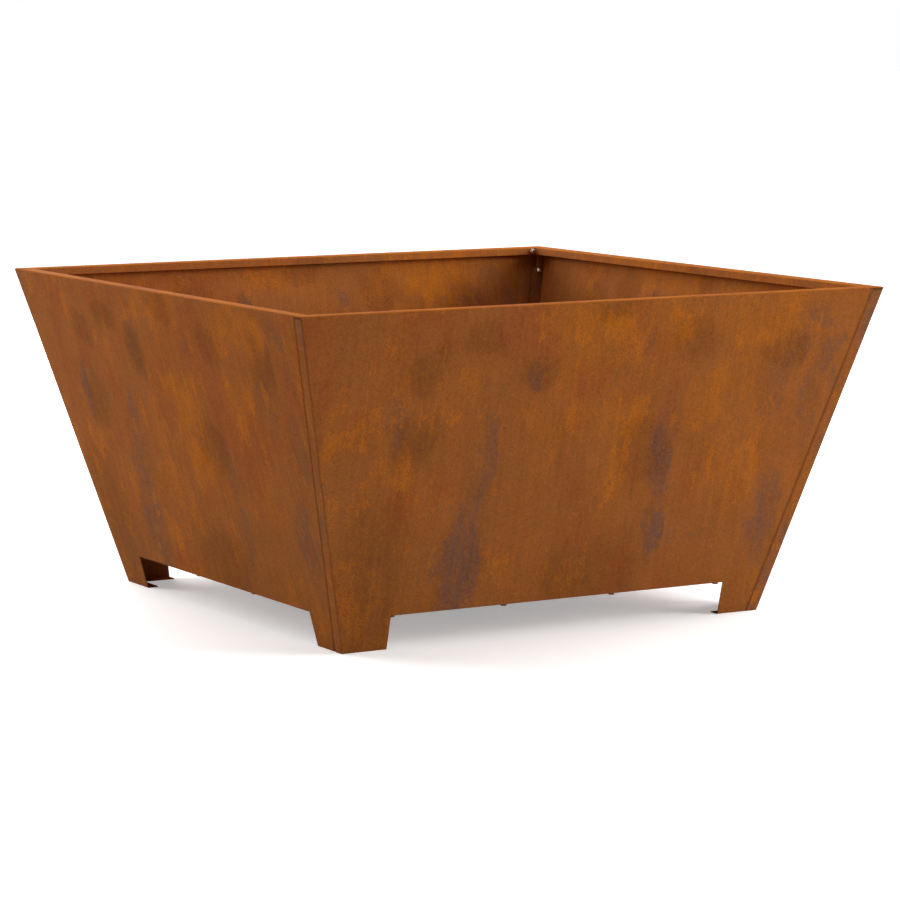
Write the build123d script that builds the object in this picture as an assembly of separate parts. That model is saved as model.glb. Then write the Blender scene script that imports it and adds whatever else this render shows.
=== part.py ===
from build123d import *
from math import acos, cos, sin, sqrt
import os

# Square planter box in folded weathering steel, a flat-pack kit of four identical wall panels,
# a base in two halves, and stainless screws. Millimetres, +Z up. The origin is the centre of
# the footprint on the floor. Each panel stands on two legs and is a quarter turn from the next.

# Overall sizes
top_width = 1200.0           # across the outer faces, at the rim
base_width = 877.0           # across the outer faces, at the floor
height = 608.0

# Sheet
sheet = 2.0
bend_radius = 1.0            # inside radius of every fold
mitre_gap = 0.6              # between two rims at a corner
relief = 1.0                 # saw cut at each end of a ledge, so that it folds by itself

# Rim and lip along the top
rim_width = 28.0             # from the outer face to the lip's inner face
lip_depth = 15.0             # from the rim's top to the lip's lower edge
tab_length = 20.0            # tab at the lip's end, behind the next panel's lip
tab_headroom = 1.5           # between a tab and the rim above it
lip_end_gap = 0.5            # between a lip's end and the fold of the tab behind it

# Corner seams
strip_width = 26.0           # a panel's edge wraps round the corner by this much
strip_drop = 3.2             # the strip's top lies this far below the rim's top
flange_depth = 25.0          # inward flange, from the outer face to its free edge
flange_notch = 8.0           # cut from the flange's free edge, beside the lips
flange_notch_height = 42.0   # the notch's lower end, below the rim's top
flange_lift = 3.0            # the flange that ends a wall stops this far above the floor

# Legs and ledges
skirt_height = 62.0          # lower edge of the wall between the legs
leg_gap = 700.0              # between a panel's two legs
ledge_depth = 25.0           # flange under the wall, which carries the base
foot_depth = 22.0            # flange under each leg

# Base
base_gap = 1.0               # between the base and the folds around it
corner_room = 4.0            # between the base and the corner flanges
rib_height = 40.0            # upstand along the middle edge of each half
drain_diameter = 14.0
drain_columns = 2            # drain holes across one half
drain_rows = 4               # drain holes along one half

# Fasteners, M6
screw_diameter = 6.0
screw_length = 12.0
rim_screw_length = 10.0
tip_chamfer = 0.7
hole_diameter = 6.6
hex_flats = 10.0
head_height = 4.0
nut_height = 5.0
thread_gap = 0.05            # between a nut's bore and the screw
washer_diameter = 12.0
washer_bore = 6.4
washer_thickness = 1.6

# Places of the fasteners
seam_screw_count = 4         # up one corner
seam_screw_inset = 14.0      # from the outer face
seam_screw_drop = 49.0       # the highest one, below the rim's top
seam_screw_lift = 100.0      # the lowest one, above the floor
rim_screw_drop = 8.0         # below the rim's top
rim_screw_inset = 8.0        # from the lip that carries the tab
ledge_screw_count = 4        # along one side
ledge_screw_inset = 12.5     # from the outer face
ledge_screw_margin = 8.75    # the outer ones, from the legs' edges
rib_screw_count = 3
rib_screw_lift = 24.0        # above the base's underside
spanner_turn = 23.0          # each hexagon ends up turned a little more than the last

# Worked out from the sizes above
top_half = top_width / 2
slope = (top_width - base_width) / 2 / height
steepness = sqrt(1 + slope**2)               # length down a wall per unit of height
edge_slant = sqrt(1 + 2 * slope**2)          # length down a corner edge per unit of height
squeeze = steepness / edge_slant             # a level width, seen along a corner edge
corner_angle = acos(-slope**2 / steepness**2)
through_wall = sheet * steepness             # a wall's thickness, measured level
fold_radius = bend_radius + sheet
stub = fold_radius + 1                       # flat wall kept beside a corner fold
lip_half = top_half - rim_width
strip_top = height - strip_drop
rim_fold_end = height - fold_radius
tab_top = height - sheet - tab_headroom
base_level = skirt_height + sheet            # top of the ledges, and the base's underside
past = 4 * rim_width                         # how far a cutting tool reaches past its work
up_from_floor = Align.CENTER, Align.CENTER, Align.MIN


def half_width(z):
    """Half the width across two outer faces at a height."""
    return base_width / 2 + slope * z


base_half_width = half_width(base_level) - through_wall - bend_radius - base_gap
base_corner = half_width(base_level) - strip_width - 2 * through_wall - corner_room


def quarter_turns(count):
    return Rotation(0, 0, 90 * count)


def folded(points, radius, side):
    """A section of bent sheet: the line along its skin, thickened to one side."""
    skin = FilletPolyline(*points, radius=radius)
    return make_face(offset(skin, amount=sheet, side=side, closed=True))


def block(low, high):
    size = Vector(*high) - Vector(*low)
    return Pos(*low) * Box(size.X, size.Y, size.Z, align=(Align.MIN, Align.MIN, Align.MIN))


def between_levels(shape, low, high):
    lower = split(shape, bisect_by=Plane((0, 0, high)), keep=Keep.BOTTOM)
    return split(lower, bisect_by=Plane((0, 0, low)), keep=Keep.TOP)


# Wall panel. The front one is at -Y. Its left end, seen from outside, is at -X.

def wall_stretch(x_low, x_high, bottom, flange):
    """Lip, rim, wall and bottom flange in one sheet, between two places along X."""
    outline = [
        (-lip_half, height - lip_depth),
        (-lip_half, height),
        (-top_half, height),
        (-half_width(bottom), bottom),
        (-half_width(bottom) + flange, bottom),
    ]
    section = Plane.YZ.offset(x_low) * folded(outline, fold_radius, Side.LEFT)
    return extrude(section, amount=x_high - x_low)


def open_wall():
    """The panel without its folded ends: a wall with two legs, cut to the corner mitres."""
    leg = leg_gap / 2
    wall = wall_stretch(-leg, leg, skirt_height, ledge_depth)
    outer = -half_width(skirt_height) - sheet
    for x in (-leg, leg - relief):
        wall -= block(
            (x, outer, skirt_height - sheet),
            (x + relief, outer + ledge_depth + 2 * sheet, skirt_height + fold_radius),
        )
    wall += wall_stretch(-top_half, -leg, 0, foot_depth)
    wall += wall_stretch(leg, top_half, 0, foot_depth)
    tip = -mitre_gap / sqrt(2)
    wedge = make_face(Polyline((0, tip), (-past - top_half, tip - past - top_half),
                               (past + top_half, tip - past - top_half), close=True))
    return wall & extrude(wedge, amount=height + past)


def edge_plane(side):
    """Plane across the corner edge at one end of the front panel: side is -1 or 1.

    Its origin is the corner at the floor. Local X runs along the wall towards the middle of
    the panel, and local Y runs inwards.
    """
    edge = Vector(side * slope, -slope, 1) / edge_slant
    along_wall = Vector(-side, 0, 0) + edge * (side * edge.X)
    corner = (side * base_width / 2, -base_width / 2, 0)
    return Plane(corner, x_dir=along_wall, z_dir=edge * -side)


def along_edge(side, section, low, high):
    """A section on the edge plane, run along the corner edge between two heights."""
    run = extrude(edge_plane(side) * section, amount=2 * height, both=True)
    return between_levels(run, low, high)


def along_neighbour(distance):
    """Step from the corner along the neighbour's wall, on the edge plane."""
    level = distance * squeeze
    return Vector(level * cos(corner_angle), level * sin(corner_angle))


def along_own_wall(distance):
    return Vector(distance * squeeze, 0)


def wall_end_waste(side, kept_from, top):
    """What is cut from the wall's end, where a folded edge takes its place: the wall up to a
    height below the rim, and the foot."""
    width = kept_from + past
    wall = Pos((kept_from - past) / 2, sheet / 2) * Rectangle(width, 4 * sheet)
    foot = Pos((kept_from - past) / 2, foot_depth / 2) * Rectangle(width, foot_depth + 4 * sheet)
    return along_edge(side, wall, -past, top) + along_edge(side, foot, -past, skirt_height)


def notch(side, centre, width, depth):
    """Cutter beside the lips, at the free edge of a seam flange."""
    blank = Pos(centre) * Rectangle(width, depth)
    return along_edge(side, blank, height - flange_notch_height, height)


def wrapped_edge():
    """Left end: round the corner, along the neighbour's wall, and inwards."""
    seam = along_neighbour(strip_width)
    points = [(stub, 0), (0, 0), seam, seam + along_own_wall(flange_depth)]
    edge = along_edge(-1, folded(points, fold_radius, Side.RIGHT), 0, strip_top)
    notch_centre = seam + along_own_wall(flange_depth - flange_notch + past / 2)
    return edge - notch(-1, notch_centre, past * squeeze, 4 * sheet)


def flanged_edge():
    """Right end: short of the corner, and inwards against the neighbour's flange."""
    seam = along_own_wall(strip_width)
    points = [seam + Vector(stub, 0), seam, seam + along_neighbour(flange_depth)]
    edge = along_edge(1, folded(points, fold_radius, Side.RIGHT), flange_lift, strip_top)
    notch_centre = seam + Vector(0, (flange_depth - flange_notch + past / 2) * squeeze)
    return edge - notch(1, notch_centre, 4 * sheet, past * squeeze)


def lip_tab():
    """Right end of the lip: on past the mitre, and back behind the next panel's lip."""
    back = lip_half + sheet
    points = [(back - tab_length, -lip_half), (back, -lip_half), (back, tab_length - back)]
    section = folded(points, bend_radius, Side.RIGHT)
    low = height - lip_depth
    return Pos(0, 0, low) * extrude(section, amount=tab_top - low)


def lip_end_cut():
    """Room at the left end of the lip for the neighbour's lip and tab."""
    outer = -lip_half - sheet - bend_radius
    return block(
        (-top_half, outer, height - lip_depth - sheet),
        (bend_radius + lip_end_gap - lip_half, bend_radius - lip_half, tab_top + lip_end_gap),
    )


def holes(places, diameter):
    """Cutters through two sheets, one at each place."""
    return [place * Cylinder(diameter / 2, 6 * sheet) for place in places]


def seam_places():
    """On the joint plane of the front right seam, with Z out of the right wall."""
    span = height - seam_screw_drop - seam_screw_lift
    places = []
    for step in range(seam_screw_count):
        z = seam_screw_lift + span * step / (seam_screw_count - 1)
        origin = (half_width(z) - strip_width, seam_screw_inset - half_width(z), z)
        places.append(Plane(origin, x_dir=(0, 1, 0), z_dir=(1, 0, -slope)).location)
    return places


def rim_place():
    """Between lip and tab at the front right corner, with Z out of the box."""
    origin = (lip_half + sheet, rim_screw_inset - lip_half, height - rim_screw_drop)
    return Plane(origin, x_dir=(0, 1, 0), z_dir=(1, 0, 0)).location


def ledge_places():
    """Between the front ledge and the base, with Z down."""
    pitch = (leg_gap - 2 * ledge_screw_margin) / (ledge_screw_count - 1)
    y = ledge_screw_inset - half_width(skirt_height)
    places = []
    for step in range(ledge_screw_count):
        x = (step - (ledge_screw_count - 1) / 2) * pitch
        places.append(Plane((x, y, base_level), x_dir=(1, 0, 0), z_dir=(0, 0, -1)).location)
    return places


def rib_places():
    """Between the upstands of the two base halves, with Z to the right."""
    pitch = 2 * base_half_width / rib_screw_count
    z = base_level + rib_screw_lift
    places = []
    for step in range(rib_screw_count):
        y = (step - (rib_screw_count - 1) / 2) * pitch
        places.append(Plane((0, y, z), x_dir=(0, 1, 0), z_dir=(1, 0, 0)).location)
    return places


def wall_panel():
    panel = open_wall()
    panel -= wall_end_waste(-1, stub, strip_top)
    panel -= wall_end_waste(1, strip_width * squeeze + stub, rim_fold_end)
    panel -= lip_end_cut()
    panel = panel + wrapped_edge() + flanged_edge() + lip_tab()
    corner_holes = holes(seam_places() + [rim_place()], hole_diameter)
    panel -= corner_holes
    panel -= [quarter_turns(-1) * hole for hole in corner_holes]
    return panel - holes(ledge_places(), hole_diameter)


# Base

def base_half():
    """The half at +X: a plate on the ledges, with an upstand where it meets the other half."""
    side = base_half_width
    outline = [(side, base_level), (0, base_level), (0, base_level + rib_height)]
    plate = extrude(Plane.XZ * folded(outline, fold_radius, Side.RIGHT), amount=side, both=True)
    for y in (-side - past, base_corner):
        plate -= block((base_corner, y, 0), (side + past, y + side + past - base_corner, height))
    for column in range(drain_columns):
        for row in range(drain_rows):
            x = side * (column + 0.5) / drain_columns
            y = side * (2 * row + 1 - drain_rows) / drain_rows
            plate -= Pos(x, y, base_level) * Cylinder(drain_diameter / 2, 4 * sheet)
    for turns in range(4):
        plate -= [quarter_turns(turns) * hole for hole in holes(ledge_places(), hole_diameter)]
    return plate - holes(rib_places(), hole_diameter)


# Fasteners. Each place has its Z towards the screw's head.

def hexagon(thickness):
    """Hexagon standing on Z = 0, with the corners chamfered at its top."""
    prism = extrude(RegularPolygon(hex_flats / 2, 6, major_radius=False), amount=thickness)
    crown = hex_flats / 2 - tip_chamfer / 4
    return prism & Cone(crown + thickness * sqrt(3), crown, thickness, align=up_from_floor)


def screw(place, seat, length, turn):
    """Hexagon head screw, the underside of its head at a distance along the place's Z."""
    shank = Cylinder(screw_diameter / 2, length, align=up_from_floor)
    shank = chamfer(shank.edges().sort_by(Axis.Z)[0], tip_chamfer)
    body = Pos(0, 0, length) * hexagon(head_height) + shank
    return place * Pos(0, 0, seat - length) * Rotation(0, 0, turn) * body


def nut(place, seat, turn):
    """Hexagon nut, its face against the work at a distance along the place's Z."""
    one_side = hexagon(nut_height)
    body = one_side & Pos(0, 0, nut_height) * Rotation(180, 0, 0) * one_side
    body -= Cylinder(screw_diameter / 2 + thread_gap, nut_height, align=up_from_floor)
    return place * Pos(0, 0, seat - nut_height) * Rotation(0, 0, turn) * body


def washer(place, seat):
    """Washer, its face against the work at a distance along the place's Z."""
    body = Cylinder(washer_diameter / 2, washer_thickness, align=up_from_floor)
    body -= Cylinder(washer_bore / 2, washer_thickness, align=up_from_floor)
    return place * Pos(0, 0, seat) * body


def washer_under_head(places):
    """Screws, washers and nuts for joints with the washer on the head's side."""
    screws, washers, nuts = [], [], []
    for index, place in enumerate(places):
        turn = spanner_turn * index
        screws.append(screw(place, sheet + washer_thickness, screw_length, turn))
        washers.append(washer(place, sheet))
        nuts.append(nut(place, -sheet, -turn))
    return {"screws": screws, "washers": washers, "nuts": nuts}


def washer_under_nut(places):
    """Screws, washers and nuts for joints with the washer on the nut's side."""
    screws, washers, nuts = [], [], []
    for index, place in enumerate(places):
        turn = spanner_turn * index
        screws.append(screw(place, sheet, screw_length, turn))
        washers.append(washer(place, -sheet - washer_thickness))
        nuts.append(nut(place, -sheet - washer_thickness, -turn))
    return {"screws": screws, "washers": washers, "nuts": nuts}


def build():
    nodes = {}
    panel = wall_panel()
    half = base_half()
    seam_kit = washer_under_head(seam_places())
    ledge_kit = washer_under_nut(ledge_places())
    sides = ("front", "right", "back", "left")
    corners = ("front_right", "back_right", "back_left", "front_left")
    for turns, side in enumerate(sides):
        nodes["panel_" + side] = [quarter_turns(turns) * panel]
        for kind, pieces in ledge_kit.items():
            nodes[f"ledge_{kind}_{side}"] = [quarter_turns(turns) * piece for piece in pieces]
    for turns, corner in enumerate(corners):
        for kind, pieces in seam_kit.items():
            nodes[f"seam_{kind}_{corner}"] = [quarter_turns(turns) * piece for piece in pieces]
    rim_places = [quarter_turns(turns) * rim_place() for turns in range(4)]
    nodes["rim_screws"] = [screw(place, sheet, rim_screw_length, 0) for place in rim_places]
    nodes["rim_nuts"] = [nut(place, -sheet, 0) for place in rim_places]
    nodes["base_half_right"] = [half]
    nodes["base_half_left"] = [quarter_turns(2) * half]
    for kind, pieces in washer_under_head(rib_places()).items():
        nodes["rib_" + kind] = pieces
    return nodes


os.makedirs("parts", exist_ok=True)
for name, pieces in build().items():
    solids = [solid for piece in pieces for solid in piece.solids()]
    export_step(Compound(solids), f"parts/{name}.step")
    print(name, len(solids))
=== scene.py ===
"""Looks of a square planter box in folded weathering steel: rust, fasteners, floor, light and camera."""
import math

import bpy
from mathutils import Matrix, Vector


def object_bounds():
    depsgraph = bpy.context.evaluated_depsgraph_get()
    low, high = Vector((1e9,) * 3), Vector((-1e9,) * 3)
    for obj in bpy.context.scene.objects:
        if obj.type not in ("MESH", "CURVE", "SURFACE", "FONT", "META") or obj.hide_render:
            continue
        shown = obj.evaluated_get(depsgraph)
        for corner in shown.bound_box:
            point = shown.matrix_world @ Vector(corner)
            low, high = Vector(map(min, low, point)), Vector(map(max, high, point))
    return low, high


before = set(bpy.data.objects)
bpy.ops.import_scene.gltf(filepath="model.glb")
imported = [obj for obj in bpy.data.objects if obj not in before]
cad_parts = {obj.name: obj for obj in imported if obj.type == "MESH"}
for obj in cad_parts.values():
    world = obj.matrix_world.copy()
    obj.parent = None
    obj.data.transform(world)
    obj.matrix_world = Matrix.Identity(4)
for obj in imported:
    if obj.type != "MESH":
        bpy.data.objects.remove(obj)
CAD_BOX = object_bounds()
LOW, HIGH = CAD_BOX
CENTRE = (LOW + HIGH) / 2
WIDTH = HIGH.x - LOW.x
HEIGHT = HIGH.z - LOW.z
MM = 0.001


def linear(red, green, blue):
    """Colour from 0 to 255 a channel, as a screen shows it, in the linear values that shaders take."""
    def channel(value):
        value /= 255
        return value / 12.92 if value <= 0.04045 else ((value + 0.055) / 1.055) ** 2.4
    return (channel(red), channel(green), channel(blue), 1.0)


class Graph:
    """A material under construction: each call adds a node and returns its output."""

    def __init__(self, name):
        self.material = bpy.data.materials.new(name)
        self.material.use_nodes = True
        self.tree = self.material.node_tree
        self.tree.nodes.clear()

    def node(self, kind, *inputs, **settings):
        """Node of a kind with its sockets filled in order: None leaves a socket as it is."""
        made = self.tree.nodes.new("ShaderNode" + kind)
        for key, value in settings.items():
            setattr(made, key, value)
        for socket, value in zip(made.inputs, inputs):
            self.fill(socket, value)
        return made

    def fill(self, socket, value):
        if isinstance(value, bpy.types.NodeSocket):
            self.tree.links.new(value, socket)
        elif value is not None:
            socket.default_value = value

    def math(self, operation, first, second=None, third=None):
        return self.node("Math", first, second, third, operation=operation).outputs[0]

    def ramp(self, value, low, high, to_low=0.0, to_high=1.0):
        """Smooth step of a value from low to high."""
        made = self.node("MapRange", value, low, high, to_low, to_high, interpolation_type="SMOOTHSTEP")
        return made.outputs[0]

    def mix(self, share, first, second):
        """Colour between two, by a share from 0 to 1."""
        made = self.node("Mix", data_type="RGBA", clamp_factor=True)
        self.fill(made.inputs[0], share)
        self.fill(made.inputs[6], first)
        self.fill(made.inputs[7], second)
        return made.outputs[2]

    def noise_node(self, place, scale, detail, roughness, distortion=0.0):
        made = self.node("TexNoise")
        made.inputs["Scale"].default_value = scale
        made.inputs["Detail"].default_value = detail
        made.inputs["Roughness"].default_value = roughness
        made.inputs["Distortion"].default_value = distortion
        self.fill(made.inputs["Vector"], place)
        return made

    def noise(self, *settings):
        """Noise about 0.5."""
        return self.noise_node(*settings).outputs[0]

    def noise_vector(self, *settings):
        """Three unlike noises in one vector, each about 0.5."""
        return self.noise_node(*settings).outputs[1]

    def blend(self, share, first, second):
        """Number between two, by a share from 0 to 1."""
        made = self.node("Mix", data_type="FLOAT")
        self.fill(made.inputs[0], share)
        self.fill(made.inputs[2], first)
        self.fill(made.inputs[3], second)
        return made.outputs[0]

    def total(self, *terms):
        """Sum of values, each times its weight."""
        found = 0.0
        for value, weight in terms:
            found = self.math("MULTIPLY_ADD", value, weight, found)
        return found

    def product(self, *factors):
        """Values multiplied together."""
        found = factors[0]
        for factor in factors[1:]:
            found = self.math("MULTIPLY", found, factor)
        return found

    def turned(self, vector, quarters):
        """Vector turned about Z by quarter turns."""
        made = self.node("VectorRotate", vector, rotation_type="Z_AXIS")
        made.inputs["Angle"].default_value = quarters * math.pi / 2
        return made.outputs[0]

    def scaled(self, vector, factor):
        made = self.node("VectorMath", vector, operation="SCALE")
        self.fill(made.inputs["Scale"], factor)
        return made.outputs[0]

    def stretch(self, place, across, down, aside=1.0):
        """Place scaled across and down a sheet's face."""
        return self.node("VectorMath", place, (across, down, aside), operation="MULTIPLY").outputs[0]

    def surface(self, height, distance, colour, roughness, metallic=0.0, specular=0.5):
        """Principled shader with a bump, joined to the output."""
        bump = self.node("Bump")
        bump.inputs["Strength"].default_value = 1.0
        bump.inputs["Distance"].default_value = distance
        self.fill(bump.inputs["Height"], height)
        shader = self.node("BsdfPrincipled")
        self.fill(shader.inputs["Base Color"], colour)
        self.fill(shader.inputs["Roughness"], roughness)
        self.fill(shader.inputs["Normal"], bump.outputs[0])
        shader.inputs["Metallic"].default_value = metallic
        shader.inputs["Specular IOR Level"].default_value = specular
        output = self.node("OutputMaterial")
        self.tree.links.new(shader.outputs[0], output.inputs[0])
        return self.material


# Rust

PLUM = linear(104, 70, 54)
BROWN = linear(133, 78, 36)
ORANGE = linear(154, 85, 20)
FLECK = linear(166, 92, 20)
RED_BROWN = linear(131, 66, 32)
INSIDE_PAINTED_LIGHT = (1.42, 1.52, 1.80)    # painted light: how much paler each channel is made on the faces inside the box

# A wall's outer face, and the strip of the panel that wraps round the corner onto it
HALF_WIDTH_AT_FLOOR = 0.4385
WALL_LEAN = 0.2656              # outwards, per unit of height
STRIP = 26 * MM

# Marks on a wall, in metres: across from its middle, height, half width, half height
RAIN_RUNS = (
    (-0.225, 0.17, 0.060, 0.22),
    (-0.195, 0.33, 0.030, 0.09),
    (0.165, 0.33, 0.035, 0.14),
    (0.170, 0.17, 0.025, 0.10),
    (0.415, 0.20, 0.045, 0.14),
    (0.375, 0.43, 0.045, 0.08),
    (0.110, 0.52, 0.022, 0.04),
    (-0.120, 0.50, 0.030, 0.05),
    (-0.390, 0.40, 0.030, 0.08),
    (0.500, 0.500, 0.035, 0.060),
    (0.470, 0.380, 0.035, 0.110),
    (0.465, 0.565, 0.045, 0.025),
    (0.400, 0.450, 0.030, 0.070),
    (0.520, 0.420, 0.020, 0.060),
    (0.435, 0.510, 0.020, 0.050),
)
DARK_MARKS = (
    (-0.230, 0.545, 0.060, 0.050),
    (-0.340, 0.510, 0.060, 0.055),
    (-0.115, 0.495, 0.055, 0.050),
    (0.030, 0.590, 0.060, 0.035),
    (0.205, 0.530, 0.065, 0.055),
    (0.120, 0.330, 0.070, 0.090),
    (-0.345, 0.370, 0.070, 0.070),
    (-0.410, 0.140, 0.110, 0.200),
    (0.050, 0.110, 0.140, 0.090),
    (0.400, 0.500, 0.070, 0.060),
)
BRIGHT_MARKS = (
    (0.250, 0.420, 0.080, 0.070),
    (-0.095, 0.350, 0.040, 0.140),
    (-0.135, 0.120, 0.020, 0.070),
    (-0.390, 0.320, 0.060, 0.060),
    (0.060, 0.290, 0.070, 0.070),
    (0.330, 0.270, 0.110, 0.080),
    (0.310, 0.560, 0.190, 0.060),
    (-0.060, 0.570, 0.110, 0.050),
    (0.040, 0.400, 0.110, 0.070),
    (-0.270, 0.450, 0.070, 0.060),
)
MARK_DRIFT = Vector((0.09, 0.14, 0.0))      # how far noise bends the marks, across and down, in metres


class Sheet:
    """Where a point is on a folded panel, in the panel's own frame.

    place holds metres across, metres down, and a number that differs from face to face. outer, strip,
    inner and level are 1 on faces that look out of the wall, round the corner, into the box and upwards,
    and 0 elsewhere. leftward rises to 1 towards the panel's left end.
    """

    def __init__(self, graph, turns, offset):
        coordinates = graph.node("TexCoord").outputs["Object"]
        normal = graph.node("NewGeometry").outputs["True Normal"]
        at = graph.node("SeparateXYZ", graph.turned(coordinates, -turns)).outputs
        to = graph.node("SeparateXYZ", graph.turned(normal, -turns)).outputs
        side = [graph.math("ROUND", to[axis]) for axis in range(3)]
        lying = graph.math("ABSOLUTE", side[2])
        sideways = graph.product(graph.math("ABSOLUTE", side[0]), graph.math("SUBTRACT", 1.0, lying))
        across = graph.blend(sideways, at[0], at[1])
        down = graph.blend(lying, at[2], at[1])
        face = graph.total((side[0], 1.7), (side[1], 0.9), (side[2], 2.9), (offset, 1.0))
        self.place = graph.node("CombineXYZ", across, down, face).outputs[0]
        self.height = at[2]
        self.outer = graph.math("LESS_THAN", to[1], -0.9)
        self.strip = graph.math("LESS_THAN", to[0], -0.9)
        self.inner = graph.math("GREATER_THAN", to[1], 0.5)
        self.level = graph.math("GREATER_THAN", to[2], 0.5)
        self.leftward = graph.ramp(at[0], 0.1 * WIDTH, -0.45 * WIDTH)
        half_width = graph.math("MULTIPLY_ADD", at[2], WALL_LEAN, HALF_WIDTH_AT_FLOOR)
        self.from_right = graph.math("SUBTRACT", half_width, at[0])
        self.round_corner = graph.math("ADD", half_width, at[1])


def swinging(*terms):
    """Terms for a total, made of noises about 0.5 and weights, so that each noise swings about zero."""
    return [term for noise, weight in terms for term in ((noise, weight), (0.5, -weight))]


def marks(graph, place, spots, edge):
    """1 in the middle of any of the ellipses, fading to 0 near its edge, which a noise makes ragged."""
    found = 0.0
    for across, height, half_width, half_height in spots:
        away = graph.node("VectorMath", place, (across, height, 0), operation="SUBTRACT").outputs[0]
        away = graph.stretch(away, 1 / half_width, 1 / half_height, 0.0)
        radius = graph.node("VectorMath", away, operation="LENGTH").outputs["Value"]
        found = graph.math("MAXIMUM", graph.ramp(radius, 1.35, 0.0), found)
    torn = graph.total((found, 1.0), *swinging((edge, 2.2)))
    return graph.product(graph.ramp(torn, 0.22, 0.72), graph.ramp(found, 0.0, 0.25))


def drifting(graph, place, mirrored):
    """Place on a panel bent by noise, and mirrored where a panel has its marks the other way round."""
    drift = graph.noise_vector(graph.stretch(place, 1.0, 0.5, 4.1), 20.0, 6.0, 0.65)
    bent = graph.node("VectorMath", drift, MARK_DRIFT, place, operation="MULTIPLY_ADD").outputs[0]
    bent = graph.node("VectorMath", bent, MARK_DRIFT / 2, operation="SUBTRACT").outputs[0]
    return graph.stretch(bent, -1.0 if mirrored else 1.0, 1.0)


def strip_gap_painted_shade(graph, sheet):
    """Painted shade in the gaps between the sheets: 1 along both edges of the strip, across its top and
    on the wall beside it.
    """
    off_middle = graph.math("ABSOLUTE", graph.math("SUBTRACT", sheet.round_corner, STRIP / 2))
    edges = graph.product(graph.ramp(off_middle, STRIP / 2 - 4 * MM, STRIP / 2 - 1 * MM), sheet.strip)
    beside = graph.product(graph.ramp(sheet.from_right, STRIP + 5 * MM, STRIP + 1 * MM), sheet.outer)
    top = graph.product(graph.ramp(sheet.height, HEIGHT - 8 * MM, HEIGHT - 4 * MM), sheet.strip)
    return graph.math("MAXIMUM", graph.math("MAXIMUM", edges, beside), top)


def weathering_steel(name, turns, offset, mirrored=False):
    """Rusted sheet: brown drifting to orange and to purple-grey, umber marks, rain runs and fine grain.

    turns is the panel's quarter turns about Z. offset moves the noise, and mirrored flips the marks.
    """
    graph = Graph(name)
    sheet = Sheet(graph, turns, offset)
    place = sheet.place
    rise = graph.ramp(sheet.height, 0.0, HEIGHT)
    left = graph.product(sheet.leftward, sheet.outer)

    # Noises from broad to fine: stretched place, scale, detail, roughness and distortion
    broad = graph.noise(graph.stretch(place, 1.0, 0.8), 3.6, 2.0, 0.5, 0.2)
    patch = graph.noise(graph.stretch(place, 1.0, 0.7, 5.3), 7.0, 7.0, 0.6)
    shadow = graph.noise(graph.stretch(place, 1.0, 0.7, 2.3), 14.0, 9.0, 0.80)
    cloud = graph.noise(graph.stretch(place, 1.0, 0.55, 1.3), 16.0, 9.0, 0.80)
    fleck = graph.noise(graph.stretch(place, 1.0, 0.45, 1.7), 26.0, 9.0, 0.78)
    streak = graph.noise(graph.stretch(place, 1.0, 0.05, 3.1), 140.0, 4.0, 0.65)
    grain = graph.noise(graph.stretch(place, 1.0, 0.8, 3.7), 380.0, 4.0, 0.80)

    # Marks on the walls' two faces, painted shade along the corner strip, and damp that collects on the
    # strip
    wall = graph.math("ADD", sheet.outer, sheet.inner)
    bent = drifting(graph, place, mirrored)
    wet = graph.product(marks(graph, bent, RAIN_RUNS, fleck), wall)
    dark = graph.product(marks(graph, bent, DARK_MARKS, shadow), wall)
    bright = graph.product(marks(graph, bent, BRIGHT_MARKS, fleck), wall)
    lines = graph.product(wet, graph.ramp(streak, 0.40, 0.58, 0.12, 0.36))
    # Painted shade where the strip meets the wall and tucks under the rim; it darkens the lightness by up
    # to half
    strip_gap_shade = strip_gap_painted_shade(graph, sheet)
    damp = graph.total((graph.ramp(sheet.height, 0.80 * HEIGHT, 0.98 * HEIGHT), 0.19), (0.10, 1.0))
    damp = graph.product(damp, graph.ramp(cloud, 0.35, 0.62, 2.4, 0.6), sheet.strip)

    # Hue from 0, purple-grey, over brown at 0.5 to 1, orange
    hue = graph.total(
        (0.50, 1.0),
        *swinging((broad, 0.5), (cloud, 0.75), (grain, 0.5), (streak, 0.25)),
        (rise, 0.12), (bright, 0.10), (lines, -1.0), (damp, -1.0), (sheet.level, 0.28), (left, -0.10),
    )
    colour = graph.mix(graph.ramp(hue, 0.0, 0.5), PLUM, BROWN)
    colour = graph.mix(graph.ramp(hue, 0.5, 1.0), colour, ORANGE)
    colour = graph.mix(graph.ramp(patch, 0.50, 0.62, 0.0, 0.45), colour, RED_BROWN)

    # Ragged flecks of bright orange, broken up by the grain
    ragged = graph.total((fleck, 1.0), (broad, 0.25), (bright, 0.04), (grain, 0.25))
    colour = graph.mix(graph.ramp(ragged, 0.81, 0.88, 0.0, 0.45), colour, FLECK)

    # Lightness, as a factor on the colour. Faces that look upwards get painted light, a fifth lighter.
    light = graph.total(
        (1.04, 1.0),
        *swinging((shadow, 0.5), (grain, 1.3), (streak, 0.3)),
        (rise, -0.08), (dark, -0.17), (wet, -0.03), (bright, 0.03), (strip_gap_shade, -0.50), (sheet.level, 0.20),
        (left, -0.02),
    )
    colour = graph.scaled(colour, light)
    # Painted light: the faces inside the box are made paler than the faces outside
    painted_light_inside = graph.node("VectorMath", colour, INSIDE_PAINTED_LIGHT, operation="MULTIPLY").outputs[0]
    colour = graph.mix(sheet.inner, colour, painted_light_inside)

    roughness = graph.ramp(cloud, 0.3, 0.7, 0.85, 0.98)
    relief = graph.math("MULTIPLY_ADD", fleck, 0.8, grain)
    return graph.surface(relief, 0.25 * MM, colour, roughness, specular=0.03)


# Stainless fasteners

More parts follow.
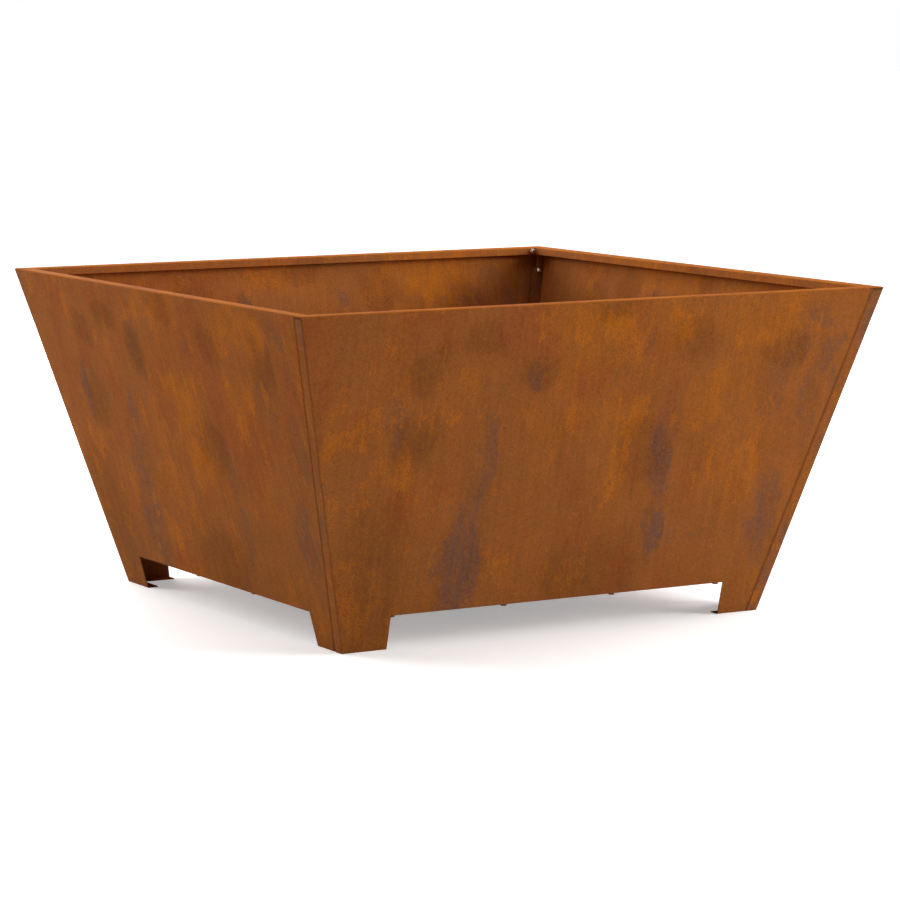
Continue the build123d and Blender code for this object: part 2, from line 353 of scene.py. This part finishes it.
def stainless_steel():
    """Bright machined steel with fine turning marks and a few dull patches."""
    graph = Graph("stainless_steel")
    coordinates = graph.node("TexCoord").outputs["Object"]
    turning = graph.noise(graph.stretch(coordinates, 1.0, 1.0, 12.0), 900.0, 3.0, 0.6)
    haze = graph.noise(coordinates, 260.0, 4.0, 0.6)
    colour = graph.mix(graph.ramp(haze, 0.35, 0.7), linear(198, 196, 192), linear(224, 223, 220))
    roughness = graph.ramp(haze, 0.3, 0.7, 0.12, 0.26)
    return graph.surface(turning, 0.02 * MM, colour, roughness, metallic=1.0)


def dark_brown_steel():
    """The same steel below the box, darker and browner, rougher and less metallic."""
    graph = Graph("dark_brown_steel")
    coordinates = graph.node("TexCoord").outputs["Object"]
    pitting = graph.noise(coordinates, 700.0, 5.0, 0.7)
    stain = graph.noise(coordinates, 190.0, 6.0, 0.65)
    colour = graph.mix(graph.ramp(stain, 0.35, 0.65), linear(92, 56, 34), linear(120, 98, 82))
    roughness = graph.ramp(stain, 0.35, 0.65, 0.75, 0.45)
    return graph.surface(pitting, 0.05 * MM, colour, roughness, metallic=0.6)


def paint(node, material):
    """Gives a CAD node one material on all its faces."""
    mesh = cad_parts[node].data
    mesh.materials.clear()
    mesh.materials.append(material)


def paint_all():
    """Gives every panel a rust of its own, and the other nodes what they share."""
    steels = {}
    for side, turns, offset, mirrored in (
        ("front", 0, 0.0, False),
        ("right", 1, 5.3, True),
        ("back", 2, 11.9, True),
        ("left", 3, 0.35, False),
    ):
        steels[side] = weathering_steel("weathering_steel_" + side, turns, offset, mirrored)
    base = weathering_steel("weathering_steel_base", 0, 17.7)
    stainless = stainless_steel()
    dark_brown = dark_brown_steel()
    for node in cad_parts:
        if node.startswith("panel_"):
            paint(node, steels[node.removeprefix("panel_")])
        elif node.startswith("base_half_"):
            paint(node, base)
        elif node.startswith(("ledge_", "rib_")):
            paint(node, dark_brown)
        else:
            paint(node, stainless)


# Setting

def floor():
    """Pale floor, which isn't part of the object, and is seen to fade to white away from it."""
    graph = Graph("floor")
    coordinates = graph.node("TexCoord").outputs["Object"]
    tone = graph.noise(coordinates, 3.0, 3.0, 0.5)
    colour = graph.mix(tone, (0.86, 0.86, 0.86, 1), (0.9, 0.9, 0.9, 1))
    material = graph.surface(tone, 0.1 * MM, colour, 0.9)
    away = graph.node("VectorMath", coordinates, operation="LENGTH").outputs["Value"]
    glow = graph.ramp(away, 0.6 * WIDTH, 2.5 * WIDTH, 0.35, 1.0)
    seen = graph.node("LightPath").outputs["Is Camera Ray"]
    shader = graph.tree.nodes["Principled BSDF"]
    shader.inputs["Emission Color"].default_value = (1, 1, 1, 1)
    graph.fill(shader.inputs["Emission Strength"], graph.math("MULTIPLY", glow, seen))
    reach = 30 * WIDTH
    mesh = bpy.data.meshes.new("floor")
    corners = [(-reach, -reach, 0), (reach, -reach, 0), (reach, reach, 0), (-reach, reach, 0)]
    mesh.from_pydata(corners, [], [(0, 1, 2, 3)])
    mesh.materials.append(material)
    plane = bpy.data.objects.new("floor", mesh)
    plane.location.z = LOW.z - 0.1 * MM
    bpy.context.scene.collection.objects.link(plane)


def aim(thing, target):
    thing.rotation_mode = "QUATERNION"
    thing.rotation_quaternion = (target - thing.location).to_track_quat("-Z", "Y")


def soft_light(name, azimuth, elevation, distance, size, power):
    """Square lamp facing the object. Azimuth 0 is in front of the object, and 90 on its right."""
    data = bpy.data.lights.new(name, "AREA")
    data.shape = "SQUARE"
    data.size = size
    data.energy = power
    lamp = bpy.data.objects.new(name, data)
    turn, lift = math.radians(azimuth), math.radians(elevation)
    away = Vector((math.sin(turn) * math.cos(lift), -math.cos(turn) * math.cos(lift), math.sin(lift)))
    lamp.location = CENTRE + distance * away
    aim(lamp, CENTRE)
    bpy.context.scene.collection.objects.link(lamp)


def lights():
    """One softbox overhead and others at two heights, the low ones being the strongest."""
    soft_light("overhead", azimuth=0, elevation=90, distance=4.0, size=4.0, power=50)
    for name, azimuth, elevation, power in (
        ("front_right_low", 45, 18, 265),
        ("right_low", 90, 18, 225),
        ("back_low", 180, 18, 285),
        ("back_left_low", 225, 18, 200),
        ("front_right_high", 45, 45, 15),
        ("back_right_high", 135, 45, 65),
        ("back_left_high", 225, 45, 50),
    ):
        soft_light(name, azimuth, elevation, distance=6.0, size=3.0, power=power)


FAINT_LIGHT = 0.15


def surroundings():
    """Pale surroundings: plain white where they or their reflections are seen, and a faint even light."""
    world = bpy.data.worlds.new("studio")
    world.use_nodes = True
    nodes, links = world.node_tree.nodes, world.node_tree.links
    path = nodes.new("ShaderNodeLightPath").outputs
    seen = nodes.new("ShaderNodeMath")
    seen.operation = "MAXIMUM"
    links.new(path["Is Camera Ray"], seen.inputs[0])
    links.new(path["Is Glossy Ray"], seen.inputs[1])
    strength = nodes.new("ShaderNodeMapRange")
    strength.inputs["To Min"].default_value = FAINT_LIGHT
    strength.inputs["To Max"].default_value = 1.0
    links.new(seen.outputs[0], strength.inputs["Value"])
    background = nodes["Background"]
    background.inputs["Color"].default_value = (1, 1, 1, 1)
    links.new(strength.outputs[0], background.inputs["Strength"])
    scene = bpy.context.scene
    scene.world = world
    scene.view_settings.view_transform = "Standard"


VIEWPOINT = Vector((-3.244, -5.641, 1.131))
VIEW_DIRECTION = Vector((0.4981, 0.8574, -0.1298))


def camera():
    """Camera in front and to the left, a little above the rim."""
    data = bpy.data.cameras.new("camera")
    data.lens = 138.45
    data.sensor_width = 36.0
    viewer = bpy.data.objects.new("camera", data)
    viewer.location = VIEWPOINT
    aim(viewer, VIEWPOINT + VIEW_DIRECTION)
    bpy.context.scene.collection.objects.link(viewer)
    bpy.context.scene.camera = viewer


paint_all()
floor()
lights()
surroundings()
camera()
